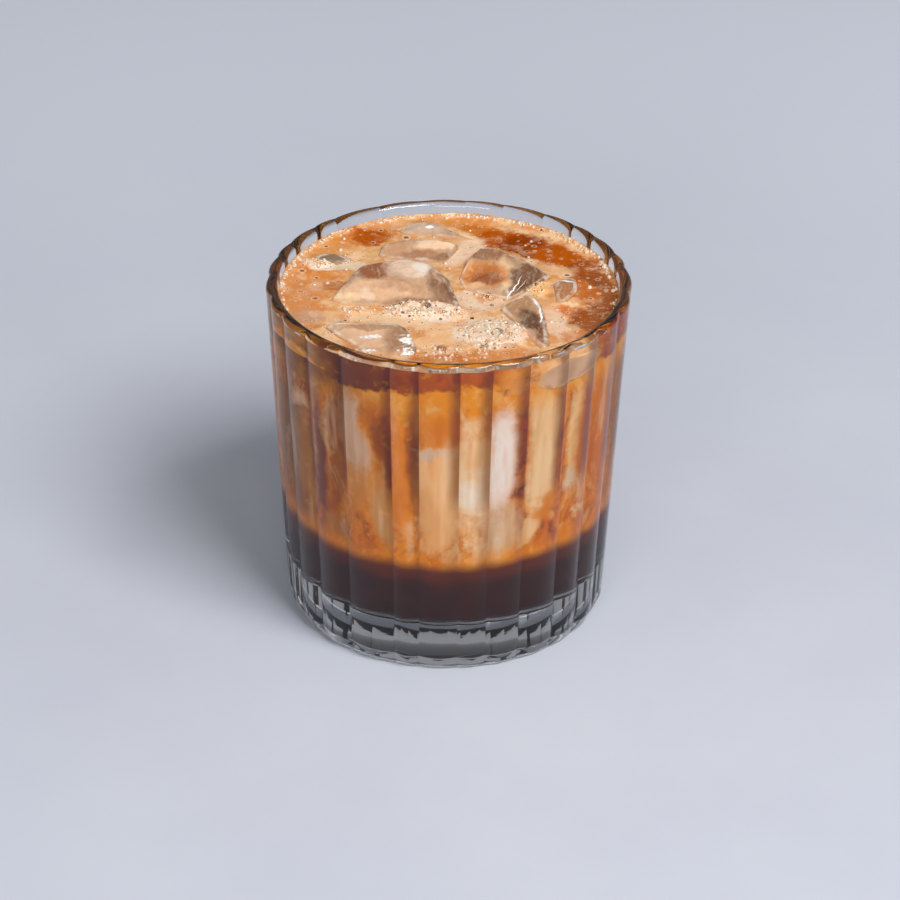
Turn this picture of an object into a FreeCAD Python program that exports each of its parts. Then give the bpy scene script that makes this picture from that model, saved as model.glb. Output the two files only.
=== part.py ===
"""Iced mocha in a ribbed tumbler, built together with its glass.

The origin is the centre of the foot, where the glass stands, with +Z up. Lengths are in millimetres
and angles in degrees. Seen from the front, along +Y, +X is to the right.

The tumbler is one piece: a tapered blank with uneven convex ribs, a bevelled heel, a rounded lip, a
smooth tapered bore and a shallow punt under the foot. The drink fills the bore in three layers: dark
chocolate at the bottom, milk coffee, and a crema foam on top. Blocks of ice float in it, and the milk
coffee and the foam are cut round them.
"""
import FreeCAD, Part
import math
import operator
import os
import Sketcher

# The driving dimensions. Each becomes a named cell of the sheet "Sizes".
SIZES = {
    # glass
    "glass_height": 82.5,
    "rim_radius": 42.0,
    "foot_radius": 37.3,
    "wall": 2.9,
    "floor_wall": 4.2,
    "base_thickness": 9.0,
    "floor_round": 9.0,
    "rib_depth": 0.8,
    "first_groove_angle": -50.7,
    "lip_round": 1.3,
    "heel_height": 3.4,
    "heel_inset": 1.2,
    "punt_radius": 30.0,
    "punt_depth": 1.0,
    # drink
    "chocolate_depth": 17.0,
    "foam_depth": 4.5,
    "headspace": 3.2,
    # ice
    "ice_bore": 38.9,
    "ice_draft": 5.0,
}

# The widths of nine neighbouring ribs, in degrees. The run of nine goes three times round the glass.
RIB_WIDTHS = (14.8, 17.5, 9.2, 13.2, 10.3, 12.6, 14.8, 12.9, 14.7)
RIB_RUNS = 3

# Each block of ice: how far its top stands out of the foam, its depth, the rounding of its edges, the
# slope of its top with the direction that it falls towards (0 is +X, 90 is +Y), and the corners of its
# top, anticlockwise, measured from the axis of a glass whose bore is ice_bore in radius.
ICE = {
    "ice_middle_left": (1.4, 22.0, 1.6, 7.0, 110.0,
                        ((-27.0, -6.0), (2.5, -10.5), (-1.0, 5.0), (-8.0, 12.0), (-20.5, 8.0))),
    "ice_back_middle": (1.2, 16.0, 1.2, 5.0, 200.0,
                        ((-16.5, 17.5), (-1.0, 14.5), (2.0, 19.5), (-4.0, 23.0), (-15.5, 22.5))),
    "ice_back_wall": (0.9, 14.0, 1.2, 4.0, -60.0,
                      ((-13.5, 28.5), (-3.0, 26.3), (7.0, 25.0), (-3.0, 33.5), (-11.0, 33.5))),
    "ice_middle_right": (1.5, 22.0, 1.6, 6.0, 250.0,
                         ((1.5, 11.0), (3.5, 0.0), (14.5, -3.5), (23.0, 8.0), (15.0, 16.0),
                          (7.5, 21.5))),
    "ice_front_right": (1.4, 18.0, 1.2, 6.0, 190.0,
                        ((12.5, -9.0), (15.0, -17.0), (20.0, -25.5), (24.0, -22.0), (21.5, -8.0),
                         (17.0, -5.5))),
    "ice_right": (0.8, 12.0, 1.0, 5.0, 160.0,
                  ((24.8, 1.0), (26.0, -5.5), (30.0, -2.5), (31.0, 5.5), (27.0, 7.5))),
    "ice_front_left": (1.2, 18.0, 1.4, 5.0, 90.0,
                       ((-28.0, -18.0), (-18.5, -30.0), (-6.5, -31.5), (-7.5, -19.5), (-23.0, -14.5))),
    "ice_left_wall": (0.9, 9.0, 0.9, 4.0, 30.0,
                      ((-32.0, 14.5), (-24.5, 12.5), (-21.5, 14.5), (-25.0, 18.0), (-29.5, 18.5))),
    "ice_front": (0.6, 14.0, 1.2, 3.0, 250.0,
                  ((3.5, -17.0), (4.5, -27.0), (16.0, -27.5), (14.5, -21.0), (12.5, -14.5),
                   (8.0, -14.0))),
}

OPERATIONS = {"+": operator.add, "-": operator.sub, "*": operator.mul, "/": operator.truediv}


class Size:
    """A size that knows both its value and its formula in cells of the sheet."""

    def __init__(self, value, formula=None):
        self.value = float(value)
        self.formula = formula or f"({self.value!r})"

    def combine(self, sign, other, swapped=False):
        other = other if isinstance(other, Size) else Size(other)
        left, right = (other, self) if swapped else (self, other)
        value = OPERATIONS[sign](left.value, right.value)
        return Size(value, f"({left.formula} {sign} {right.formula})")

    def __add__(self, other):
        return self.combine("+", other)

    def __radd__(self, other):
        return self.combine("+", other, swapped=True)

    def __sub__(self, other):
        return self.combine("-", other)

    def __rsub__(self, other):
        return self.combine("-", other, swapped=True)

    def __mul__(self, other):
        return self.combine("*", other)

    def __rmul__(self, other):
        return self.combine("*", other, swapped=True)

    def __truediv__(self, other):
        return self.combine("/", other)

    def cosine(self):
        return Size(math.cos(math.radians(self.value)), f"cos({self.formula})")

    def sine(self):
        return Size(math.sin(math.radians(self.value)), f"sin({self.formula})")


def make_sheet(doc):
    """Put every driving dimension in its own named cell."""
    sheet = doc.addObject("Spreadsheet::Sheet", "Sizes")
    cells = dict(SIZES)
    for number, width in enumerate(RIB_WIDTHS, 1):
        cells[f"rib_width_{number}"] = width
    for name, (proud, depth, rounding, slope, _, _) in ICE.items():
        cells[f"{name}_proud"] = proud
        cells[f"{name}_depth"] = depth
        cells[f"{name}_round"] = rounding
        cells[f"{name}_slope"] = slope
    for row, (name, value) in enumerate(cells.items(), 1):
        sheet.set(f"A{row}", name)
        sheet.set(f"B{row}", str(value))
        sheet.setAlias(f"B{row}", name)
    return {name: Size(value, f"Sizes.{name}") for name, value in cells.items()}


def new_body(doc, label):
    body = doc.addObject("PartDesign::Body", "Body_" + label)
    body.Label = label
    return body


def bind(thing, prop, size):
    thing.setExpression(prop, size.formula)


def outline(body, name, plane, corners, arcs=None, height=None):
    """Draw a closed anticlockwise outline on one of the body's origin planes.

    corners are pairs of sizes. arcs gives the radius of each side that is round, by the number of the
    corner that it starts from: positive where it swells outwards, negative where it is hollow.
    height lifts the sketch off its plane.
    """
    arcs = arcs or {}
    sketch = body.newObject("Sketcher::SketchObject", name)
    origin_plane = next(one for one in body.Origin.OriginFeatures if one.Role == plane)
    sketch.AttachmentSupport = [(origin_plane, "")]
    sketch.MapMode = "FlatFace"
    if height is not None:
        bind(sketch, "AttachmentOffset.Base.z", height)
    points = [FreeCAD.Vector(across.value, along.value, 0) for across, along in corners]
    shapes = []
    starts = []
    for number, start in enumerate(points):
        end = points[(number + 1) % len(points)]
        if number not in arcs:
            shapes.append(Part.LineSegment(start, end))
            starts.append(1)
            continue
        radius = arcs[number].value
        first, last = (start, end) if radius > 0 else (end, start)
        half = (last - first) / 2
        inward = FreeCAD.Vector(-half.y, half.x, 0).normalize()
        centre = first + half + inward * math.sqrt(radius ** 2 - half.Length ** 2)
        circle = Part.Circle(centre, FreeCAD.Vector(0, 0, 1), abs(radius))
        angles = [math.atan2(p.y - centre.y, p.x - centre.x) for p in (first, last)]
        shapes.append(Part.ArcOfCircle(circle, *angles))
        starts.append(1 if radius > 0 else 2)
    sketch.addGeometry(shapes, False)
    rules = []
    for number, start in enumerate(starts):
        after = (number + 1) % len(shapes)
        rules.append((None, Sketcher.Constraint("Coincident", number, 3 - start, after, starts[after])))
        for axis, size in zip("XY", corners[number]):
            rule = Sketcher.Constraint("Distance" + axis, -1, 1, number, start, size.value)
            rules.append((size, rule))
        if number in arcs:
            radius = arcs[number] if arcs[number].value > 0 else 0 - arcs[number]
            rules.append((radius, Sketcher.Constraint("Radius", number, radius.value)))
    sketch.addConstraint([rule for _, rule in rules])
    for place, (size, _) in enumerate(rules):
        if size is not None:
            bind(sketch, f"Constraints[{place}]", size)
    return sketch


def spin(body, kind, name, sketch):
    """Turn a profile on the XZ plane once round Z, as material or as a cut."""
    feature = body.newObject("PartDesign::" + kind, name)
    feature.Profile = sketch
    feature.ReferenceAxis = (sketch, ["V_Axis"])
    feature.Angle = 360
    return feature


def round_edges(body, name, base, edges, radius):
    feature = body.newObject("PartDesign::Fillet", name)
    feature.Base = (base, edges)
    feature.UseAllEdges = not edges
    bind(feature, "Radius", radius)
    return feature


def ring_edge(shape, radius, height):
    """Name the round edge of a shape that has this radius at this height."""
    near = 1e-3
    for number, edge in enumerate(shape.Edges, 1):
        if edge.Degenerated or not isinstance(edge.Curve, Part.Circle):
            continue
        curve = edge.Curve
        if abs(curve.Center.z - height.value) < near and abs(curve.Radius - radius.value) < near:
            return f"Edge{number}"
    raise RuntimeError(f"no round edge of radius {radius.value} at height {height.value}")


def outer_radius(size, height):
    """The crest radius of the tapered outside at a height."""
    taper = (size["rim_radius"] - size["foot_radius"]) / size["glass_height"]
    return size["foot_radius"] + taper * height


def bore_radius(size, height):
    """The radius of the bore, whose wall thickens steadily from the rim down to the floor."""
    floor = size["base_thickness"]
    at_rim = size["rim_radius"] - size["wall"]
    at_floor = outer_radius(size, floor) - size["floor_wall"]
    return at_floor + (at_rim - at_floor) * (height - floor) / (size["glass_height"] - floor)


def groove_angles(size):
    """The angles of the grooves between the ribs, in order round the glass."""
    widths = [size[f"rib_width_{number}"] for number in range(1, len(RIB_WIDTHS) + 1)]
    whole_run = sum(widths[1:], widths[0])
    step = 360.0 / RIB_RUNS
    angles = []
    for run in range(RIB_RUNS):
        passed = Size(0)
        for width in widths:
            share = passed / whole_run
            angles.append(size["first_groove_angle"] - 90 + step * run + step * share)
            passed = passed + width
    return angles


def ribbed_section(body, name, size, radius, height):
    """A cross-section of the outside: low convex ribs that meet in narrow grooves."""
    angles = groove_angles(size)
    groove_radius = radius - size["rib_depth"]
    corners = [(groove_radius * angle.cosine(), groove_radius * angle.sine()) for angle in angles]
    swells = {}
    for number, angle in enumerate(angles):
        after = angles[number + 1] if number + 1 < len(angles) else angles[0] + 360
        half_width = (after - angle) / 2
        half_chord = groove_radius * half_width.sine()
        swell = radius - groove_radius * half_width.cosine()
        swells[number] = (half_chord * half_chord + swell * swell) / (2 * swell)
    return outline(body, name, "XY_Plane", corners, swells, height)


def make_glass(doc, size):
    body = new_body(doc, "glass")
    top = size["glass_height"]
    base = size["base_thickness"]
    spare = 2.0

    foot = ribbed_section(body, "foot_section", size, size["foot_radius"], Size(0))
    rim = ribbed_section(body, "rim_section", size, size["rim_radius"], top)
    blank = body.newObject("PartDesign::AdditiveLoft", "ribbed_blank")
    blank.Profile = foot
    blank.Sections = [(rim, [""])]
    blank.Ruled = True

    lip = size["lip_round"]
    shoulder = outer_radius(size, top - lip)
    beyond = size["rim_radius"] + size["foot_radius"]
    lip_waste = outline(
        body, "lip_waste", "XZ_Plane",
        [(shoulder, top - lip), (beyond, top - lip), (beyond, top + spare),
         (size["rim_radius"] - lip, top + spare), (size["rim_radius"] - lip, top)],
        {4: 0 - lip})
    spin(body, "Groove", "lip_outside", lip_waste)

    heel = size["heel_height"]
    heel_radius = outer_radius(size, heel)
    foot_edge = size["foot_radius"] - size["heel_inset"]
    heel_waste = outline(
        body, "heel_waste", "XZ_Plane",
        [(foot_edge, Size(-spare)), (beyond, Size(-spare)), (beyond, heel), (heel_radius, heel),
         (foot_edge, Size(0))])
    spin(body, "Groove", "heel_bevel", heel_waste)

    floor_radius = bore_radius(size, base)
    bore_waste = outline(
        body, "bore_waste", "XZ_Plane",
        [(Size(0), base), (floor_radius, base), (bore_radius(size, top), top),
         (bore_radius(size, top), top + spare), (Size(0), top + spare)])
    bore = spin(body, "Groove", "bore", bore_waste)

    punt_radius = size["punt_radius"]
    punt_depth = size["punt_depth"]
    dome = (punt_radius * punt_radius + punt_depth * punt_depth) / (2 * punt_depth)
    punt_waste = outline(
        body, "punt_waste", "XZ_Plane",
        [(Size(0), Size(-spare)), (punt_radius, Size(-spare)), (punt_radius, Size(0)),
         (Size(0), punt_depth)],
        {2: dome})
    punt = spin(body, "Groove", "punt", punt_waste)
    doc.recompute()

    floor = round_edges(body, "floor_rounding", punt, [ring_edge(punt.Shape, floor_radius, base)],
                        size["floor_round"])
    doc.recompute()
    lip_edge = ring_edge(floor.Shape, bore_radius(size, top), top)
    round_edges(body, "lip_inside", floor, [lip_edge], lip)
    return body


def make_layer(doc, name, size, bottom, top):
    """A disc of drink that fills the bore between two heights."""
    body = new_body(doc, name)
    profile = outline(
        body, name + "_profile", "XZ_Plane",
        [(Size(0), bottom), (bore_radius(size, bottom), bottom), (bore_radius(size, top), top),
         (Size(0), top)])
    spin(body, "Revolution", name + "_disc", profile)
    return body


def make_ice(doc, name, size, surface):
    """A melted block: a tilted prism that narrows downwards, with every edge rounded."""
    proud, _, _, slope, falls_to, plan = ICE[name]
    body = new_body(doc, name)
    bore_ratio = bore_radius(size, surface) / size["ice_bore"]
    middle = [sum(corner[axis] for corner in plan) / len(plan) for axis in (0, 1)]
    corners = [((x - middle[0]) * bore_ratio, (y - middle[1]) * bore_ratio) for x, y in plan]
    top = outline(body, name + "_top", "XY_Plane", corners)
    block = body.newObject("PartDesign::Pad", name + "_block")
    block.Profile = top
    block.Reversed = True
    bind(block, "Length", size[name + "_depth"] * bore_ratio)
    bind(block, "TaperAngle", 0 - size["ice_draft"])
    doc.recompute()
    round_edges(body, name + "_melted", block, [], size[name + "_round"] * bore_ratio)
    turn = math.radians(falls_to + 90)
    axis = FreeCAD.Vector(math.cos(turn), math.sin(turn), 0)
    body.Placement = FreeCAD.Placement(FreeCAD.Vector(), FreeCAD.Rotation(axis, slope))
    bind(body, "Placement.Base.x", middle[0] * bore_ratio)
    bind(body, "Placement.Base.y", middle[1] * bore_ratio)
    bind(body, "Placement.Base.z", surface + size[name + "_proud"])
    bind(body, "Placement.Rotation.Angle", size[name + "_slope"])
    return body


def cut_round(doc, label, layer, ice):
    """Leave the ice's room in a layer of drink."""
    layer.Label = label + "_uncut"
    cut = doc.addObject("Part::Cut", "Cut_" + label)
    cut.Base = layer
    cut.Tool = ice
    cut.Label = label
    return cut


def check(doc, parts):
    """Stop unless every object is computed and every sub-part is one valid solid."""
    for thing in doc.Objects:
        if {"Invalid", "Error"} & set(thing.State):
            raise RuntimeError(f"{thing.Label} failed: {thing.State}")
    for part in parts:
        shape = part.Shape
        if shape.isNull() or not shape.isValid() or len(shape.Solids) != 1:
            raise RuntimeError(f"{part.Label} is not one valid solid")


def main():
    doc = FreeCAD.newDocument("iced_mocha")
    size = make_sheet(doc)
    doc.recompute()

    base = size["base_thickness"]
    chocolate_top = base + size["chocolate_depth"]
    surface = size["glass_height"] - size["headspace"]
    foam_bottom = surface - size["foam_depth"]

    glass = make_glass(doc, size)
    chocolate = make_layer(doc, "chocolate_layer", size, base, chocolate_top)
    milk = make_layer(doc, "milk_coffee", size, chocolate_top, foam_bottom)
    foam = make_layer(doc, "crema_foam", size, foam_bottom, surface)
    doc.recompute()
    disc = chocolate.Tip
    edge = ring_edge(disc.Shape, bore_radius(size, base), base)
    round_edges(chocolate, "chocolate_bottom", disc, [edge], size["floor_round"])

    ice = [make_ice(doc, name, size, surface) for name in ICE]
    all_ice = doc.addObject("Part::MultiFuse", "All_ice")
    all_ice.Shapes = ice
    milk = cut_round(doc, "milk_coffee", milk, all_ice)
    foam = cut_round(doc, "crema_foam", foam, all_ice)
    doc.recompute()

    parts = [glass, chocolate, milk, foam, *ice]
    check(doc, parts)
    os.makedirs("parts", exist_ok=True)
    for part in parts:
        part.Shape.exportStep(f"parts/{part.Label}.step")
        print(f"{part.Label}: {part.Shape.Volume / 1000:.2f} cm3, {len(part.Shape.Faces)} faces")


main()
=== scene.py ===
"""Iced mocha in a ribbed tumbler: the finished pieces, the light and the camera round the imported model.

Lengths are written in millimetres and turned into metres by MM. Angles are in degrees, measured from the
front of the glass (-Y) towards its right (+X) where they go round it. Colours are red, green and blue in
sRGB, up to 255, until Sheet.mix turns them into the linear colours that sockets take.
"""
import functools
import math

import bmesh
import bpy
import numpy as np
from mathutils import Matrix, Vector, noise


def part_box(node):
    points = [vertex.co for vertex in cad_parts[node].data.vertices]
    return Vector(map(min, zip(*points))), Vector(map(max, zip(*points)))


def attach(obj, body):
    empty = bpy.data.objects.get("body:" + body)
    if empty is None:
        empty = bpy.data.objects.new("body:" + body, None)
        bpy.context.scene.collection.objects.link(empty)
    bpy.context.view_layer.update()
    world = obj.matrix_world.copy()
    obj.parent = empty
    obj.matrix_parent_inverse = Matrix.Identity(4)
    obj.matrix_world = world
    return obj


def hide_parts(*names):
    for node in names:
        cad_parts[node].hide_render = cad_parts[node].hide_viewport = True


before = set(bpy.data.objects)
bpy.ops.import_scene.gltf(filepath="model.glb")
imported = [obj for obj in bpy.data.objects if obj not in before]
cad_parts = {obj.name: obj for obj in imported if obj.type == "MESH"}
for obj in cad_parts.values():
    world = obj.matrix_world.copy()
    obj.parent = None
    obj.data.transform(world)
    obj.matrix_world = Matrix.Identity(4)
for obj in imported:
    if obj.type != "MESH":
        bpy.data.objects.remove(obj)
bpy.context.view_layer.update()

MM = 0.001
BODY = "root"

# ---------------------------------------------------------------- sizes from the model, in millimetres

GLASS_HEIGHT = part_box("glass")[1].z / MM
FOAM_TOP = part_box("crema_foam")[1].z / MM
FOAM_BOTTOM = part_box("milk_coffee")[1].z / MM
CHOCOLATE_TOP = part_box("chocolate_layer")[1].z / MM
GLASS_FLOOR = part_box("chocolate_layer")[0].z / MM

RIM_RADIUS = 41.98
FOOT_RADIUS = 37.28
WALL = 2.9
FLOOR_WALL = 4.2
FLOOR_ROUND = 9.0
LIP_ROUND = 1.3
HEEL_HEIGHT = 3.4
HEEL_INSET = 1.2
PUNT_RADIUS = 30.0
PUNT_DEPTH = 1.0
RIB_DEPTH = 0.8
# One run of ribs, by their widths in degrees. It goes three times round, from a groove left of the front.
RIB_WIDTHS = (14.8, 17.5, 9.2, 13.2, 10.3, 12.6, 14.8, 12.9, 14.7)
RIB_RUN = 120.0
FIRST_GROOVE = -50.7
GLASS_IOR = 1.5
DRINK_IOR = 1.368
ICE_IOR = 1.31
# How far the drink reaches into the wall, so that no air shows between them.
INTO_WALL = 0.12
# Edges that turn by more than this many degrees stay sharp.
SHARP_EDGE = 50.0


def outer_radius(z):
    return FOOT_RADIUS + (RIM_RADIUS - FOOT_RADIUS) * z / GLASS_HEIGHT


def bore_radius(z):
    at_rim = RIM_RADIUS - WALL
    at_floor = outer_radius(GLASS_FLOOR) - FLOOR_WALL
    return at_floor + (at_rim - at_floor) * (z - GLASS_FLOOR) / (GLASS_HEIGHT - GLASS_FLOOR)


# ---------------------------------------------------------------- node trees

def operator_pair(operation):
    """An operator that adds a Math node, and its reflected form."""
    def plain(self, other):
        return self.math(operation, self, other)

    def reflected(self, other):
        return self.math(operation, other, self)
    return plain, reflected


class Link:
    """An output of a node. Arithmetic on it adds Math nodes."""

    def __init__(self, sheet, socket):
        self.sheet = sheet
        self.socket = socket

    def out(self, name):
        return Link(self.sheet, self.socket.node.outputs[name])

    def math(self, operation, *values):
        return self.sheet.node("ShaderNodeMath", {"operation": operation}, *values)

    __add__, __radd__ = operator_pair("ADD")
    __sub__, __rsub__ = operator_pair("SUBTRACT")
    __mul__, __rmul__ = operator_pair("MULTIPLY")
    __truediv__, __rtruediv__ = operator_pair("DIVIDE")
    __lt__, __gt__ = operator_pair("LESS_THAN")


def most(masks):
    """The greatest of several masks at each point."""
    return functools.reduce(lambda high, mask: high.math("MAXIMUM", high, mask), masks)


def colour(red, green, blue):
    """The linear colour that sockets take."""
    linear = [((c / 255 + 0.055) / 1.055) ** 2.4 if c > 10 else c / 255 / 12.92 for c in (red, green, blue)]
    return (*linear, 1.0)


class Sheet:
    """A node tree being drawn."""

    def __init__(self, tree):
        self.tree = tree

    def node(self, kind, settings=None, *values, output=0, **named):
        """Add a node: its settings first, then its inputs by place or by name."""
        node = self.tree.nodes.new(kind)
        for name, value in (settings or {}).items():
            if name == "stops":
                self.set_stops(node.color_ramp.elements, value)
            else:
                setattr(node, name, value)
        for place, value in enumerate(values):
            self.feed(node.inputs[place], value)
        self.set(node, **named)
        return Link(self, node.outputs[output])

    def set(self, node, **values):
        for name, value in values.items():
            self.feed(node.inputs[name.replace("_", " ")], value)

    def feed(self, socket, value):
        if isinstance(value, Link):
            self.tree.links.new(value.socket, socket)
        elif value is not None:
            socket.default_value = value

    def set_stops(self, elements, stops):
        while len(elements) < len(stops):
            elements.new(1.0)
        for element, (place, shade) in zip(elements, stops):
            element.position = place
            element.color = colour(*shade)

    def mix(self, factor, low, high, blend="MIX"):
        """A colour between two: links, colours, or linear factors with an alpha of 1."""
        settings = {"data_type": "RGBA", "blend_type": blend, "clamp_factor": True}
        ends = [colour(*end) if isinstance(end, tuple) and len(end) == 3 else end for end in (low, high)]
        return self.node("ShaderNodeMix", settings, factor, None, None, None, None, None, *ends, output=2)

    def tint(self, base, shade, value, low, high, strength=1.0):
        """The base turned to a shade as value goes from low to high."""
        mask = self.ramp(value, low, high)
        return self.mix(mask if strength == 1.0 else mask * strength, base, shade)

    def vector(self, operation, *values, output=0):
        return self.node("ShaderNodeVectorMath", {"operation": operation}, *values, output=output)

    def push(self, where, field, reach):
        """Places moved about by a noise, up to half of reach each way."""
        wander = self.vector("SUBTRACT", field.out("Color"), (0.5, 0.5, 0.5))
        return self.vector("MULTIPLY_ADD", wander, reach, where)

    def ramp(self, value, low, high, to_low=0.0, to_high=1.0):
        """A smooth step from to_low to to_high as value goes from low to high."""
        settings = {"interpolation_type": "SMOOTHSTEP"}
        return self.node("ShaderNodeMapRange", settings, value, low, high, to_low, to_high)

    def noise(self, where, scale, detail=3.0, roughness=0.5):
        return self.node("ShaderNodeTexNoise", None, where, Scale=scale, Detail=detail, Roughness=roughness)

    def place(self):
        return self.node("ShaderNodeTexCoord").out("Object")

    def attribute(self, name, output):
        """A value kept on the points of a mesh."""
        return self.node("ShaderNodeAttribute", {"attribute_name": name}).out(output)

    def bump(self, height, strength, distance):
        return self.node("ShaderNodeBump", None, Strength=strength, Distance=distance, Height=height)

    def blob(self, where, centre, size, turn=0.0, soft=0.5):
        """A patch that is 1 inside an ellipse and fades out over the share soft of its radius."""
        mapped = self.node("ShaderNodeMapping", {"vector_type": "TEXTURE"}, where,
                           Location=(*centre, 0.0), Rotation=(0.0, 0.0, math.radians(turn)),
                           Scale=(*size, 1.0))
        reach = self.vector("LENGTH", mapped, output=1)
        return self.ramp(reach, 1.0 + soft, 1.0 - soft)

    def show(self, surface):
        self.feed(self.tree.nodes["Material Output"].inputs["Surface"], surface)


def new_material(name, **values):
    """A material with its Principled shader set, and the sheet to draw on."""
    material = bpy.data.materials.new(name)
    material.use_nodes = True
    shader = material.node_tree.nodes["Principled BSDF"]
    sheet = Sheet(material.node_tree)
    sheet.set(shader, **values)
    return material, sheet, shader


def start_tree(name, *numbers):
    """Geometry nodes with named numbers for inputs: the sheet, the group's input and their identifiers."""
    tree = bpy.data.node_groups.new(name, "GeometryNodeTree")
    face = tree.interface
    face.new_socket("Geometry", in_out="INPUT", socket_type="NodeSocketGeometry")
    identifiers = {}
    for number in numbers:
        socket = face.new_socket(number, in_out="INPUT", socket_type="NodeSocketFloat")
        identifiers[number] = socket.identifier
    face.new_socket("Geometry", in_out="OUTPUT", socket_type="NodeSocketGeometry")
    sheet = Sheet(tree)
    return sheet, sheet.node("NodeGroupInput"), identifiers


def end_tree(sheet, geometry, material):
    """Make the geometry real, give it its material and send it out."""
    whole = sheet.node("GeometryNodeRealizeInstances", None, geometry)
    finished = sheet.node("GeometryNodeSetMaterial", None, whole, Material=material)
    end = sheet.tree.nodes.new("NodeGroupOutput")
    sheet.feed(end.inputs[0], finished)


def run_tree(thing, sheet, identifiers, values):
    """Run geometry nodes on an object and keep what they make as its mesh."""
    modifier = thing.modifiers.new(sheet.tree.name, "NODES")
    modifier.node_group = sheet.tree
    for name, value in values.items():
        modifier[identifiers[name]] = value
    settle(thing)


# ---------------------------------------------------------------- meshes

def make_piece(name, vertices, faces, *materials, smooth=True):
    """A mesh object at the origin, its vertices given in millimetres."""
    mesh = bpy.data.meshes.new(name)
    mesh.from_pydata([tuple(c * MM for c in v) for v in vertices], [], faces)
    mesh.validate()
    if smooth:
        mesh.shade_smooth()
        mesh.set_sharp_from_angle(angle=math.radians(SHARP_EDGE))
    for material in materials:
        mesh.materials.append(material)
    thing = bpy.data.objects.new(name, mesh)
    bpy.context.scene.collection.objects.link(thing)
    return thing


def piece_from(name, shape, *materials):
    """A piece from a bmesh in millimetres."""
    vertices = [tuple(v.co) for v in shape.verts]
    faces = [[v.index for v in f.verts] for f in shape.faces]
    shape.free()
    return make_piece(name, vertices, faces, *materials)


def turn_outwards(thing, merge=0.0):
    """Point every face of a closed mesh outwards, once points closer than merge are joined."""
    shape = bmesh.new()
    shape.from_mesh(thing.data)
    if merge:
        bmesh.ops.remove_doubles(shape, verts=shape.verts, dist=merge * MM)
    bmesh.ops.recalc_face_normals(shape, faces=shape.faces)
    shape.to_mesh(thing.data)
    shape.free()


def settle(thing):
    """Turn an object's modifiers into a plain mesh."""
    graph = bpy.context.evaluated_depsgraph_get()
    mesh = bpy.data.meshes.new_from_object(thing.evaluated_get(graph))
    thing.modifiers.clear()
    thing.data = mesh
    mesh.name = thing.name


def keep_on_points(thing, name, values):
    """Keep a number for each point of a mesh."""
    thing.data.attributes.new(name, "FLOAT", "POINT").data.foreach_set("value", values)


def point_values(mesh, kind):
    """The places or normals of a mesh's points, one row each."""
    values = np.empty(len(mesh.vertices) * 3)
    mesh.vertices.foreach_get(kind, values)
    return values.reshape(-1, 3)


def direction(angle):
    """The outward direction at an angle from the front."""
    turn = math.radians(angle - 90)
    return math.cos(turn), math.sin(turn)


def lathe(name, profile, angles, *materials):
    """Turn a profile of (radius, z) round the axis, closing it where the radius is nought."""
    vertices, rows = [], []
    for radius, z in profile:
        row = [len(vertices)] * len(angles)
        if radius == 0:
            vertices.append((0.0, 0.0, z))
        else:
            row = [len(vertices) + place for place in range(len(angles))]
            vertices += [(radius * x, radius * y, z) for x, y in map(direction, angles)]
        rows.append(row)
    faces = []
    for lower, upper in zip(rows, rows[1:]):
        for place in range(len(angles)):
            after = (place + 1) % len(angles)
            corners = [lower[place], lower[after], upper[after], upper[place]]
            corners = list(dict.fromkeys(corners))
            if len(corners) > 2:
                faces.append(corners)
    thing = make_piece(name, vertices, faces, *materials)
    turn_outwards(thing)
    return thing


def strips(rings):
    """The faces between rings of points that follow each other; a ring may be one point, repeated."""
    faces = []
    for inner, outer in zip(rings, rings[1:]):
        for place in range(len(inner)):
            after = (place + 1) % len(inner)
            faces.append(list(dict.fromkeys([inner[place], outer[place], outer[after], inner[after]])))
    return faces


def arc(centre, radius, start, end, steps):
    """Points of an arc in the (radius, z) plane, from one angle to another."""
    angles = np.radians(np.linspace(start, end, steps))
    return [(centre[0] + radius * math.cos(a), centre[1] + radius * math.sin(a)) for a in angles]


def round_angles(count):
    return [360.0 * place / count for place in range(count)]


def floor_curve(grow):
    """The bore's profile from the middle of its floor up past the rounding, grown into the glass."""
    lean = math.atan2(bore_radius(GLASS_HEIGHT) - bore_radius(GLASS_FLOOR), GLASS_HEIGHT - GLASS_FLOOR)
    corner = bore_radius(GLASS_FLOOR)
    reach = FLOOR_ROUND * math.tan((math.pi / 2 - lean) / 2)
    centre = (corner - reach, GLASS_FLOOR + FLOOR_ROUND)
    curve = arc(centre, FLOOR_ROUND + grow, -90, -math.degrees(lean), 14)
    flat = [(centre[0] * share, GLASS_FLOOR - grow) for share in (0.0, 0.35, 0.7)]
    return flat + curve


# ---------------------------------------------------------------- the tumbler

def rib_angles():
    """Angles round the glass, closer together beside each groove."""
    shares = (0.0, 0.02, 0.06, 0.12, 0.2, 0.3, 0.4, 0.5, 0.6, 0.7, 0.8, 0.88, 0.94, 0.98)
    angles = []
    for run in range(round(360 / RIB_RUN)):
        start = FIRST_GROOVE + RIB_RUN * run
        for width in RIB_WIDTHS:
            angles += [start + width * share for share in shares]
            start += width
    return angles


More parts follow.
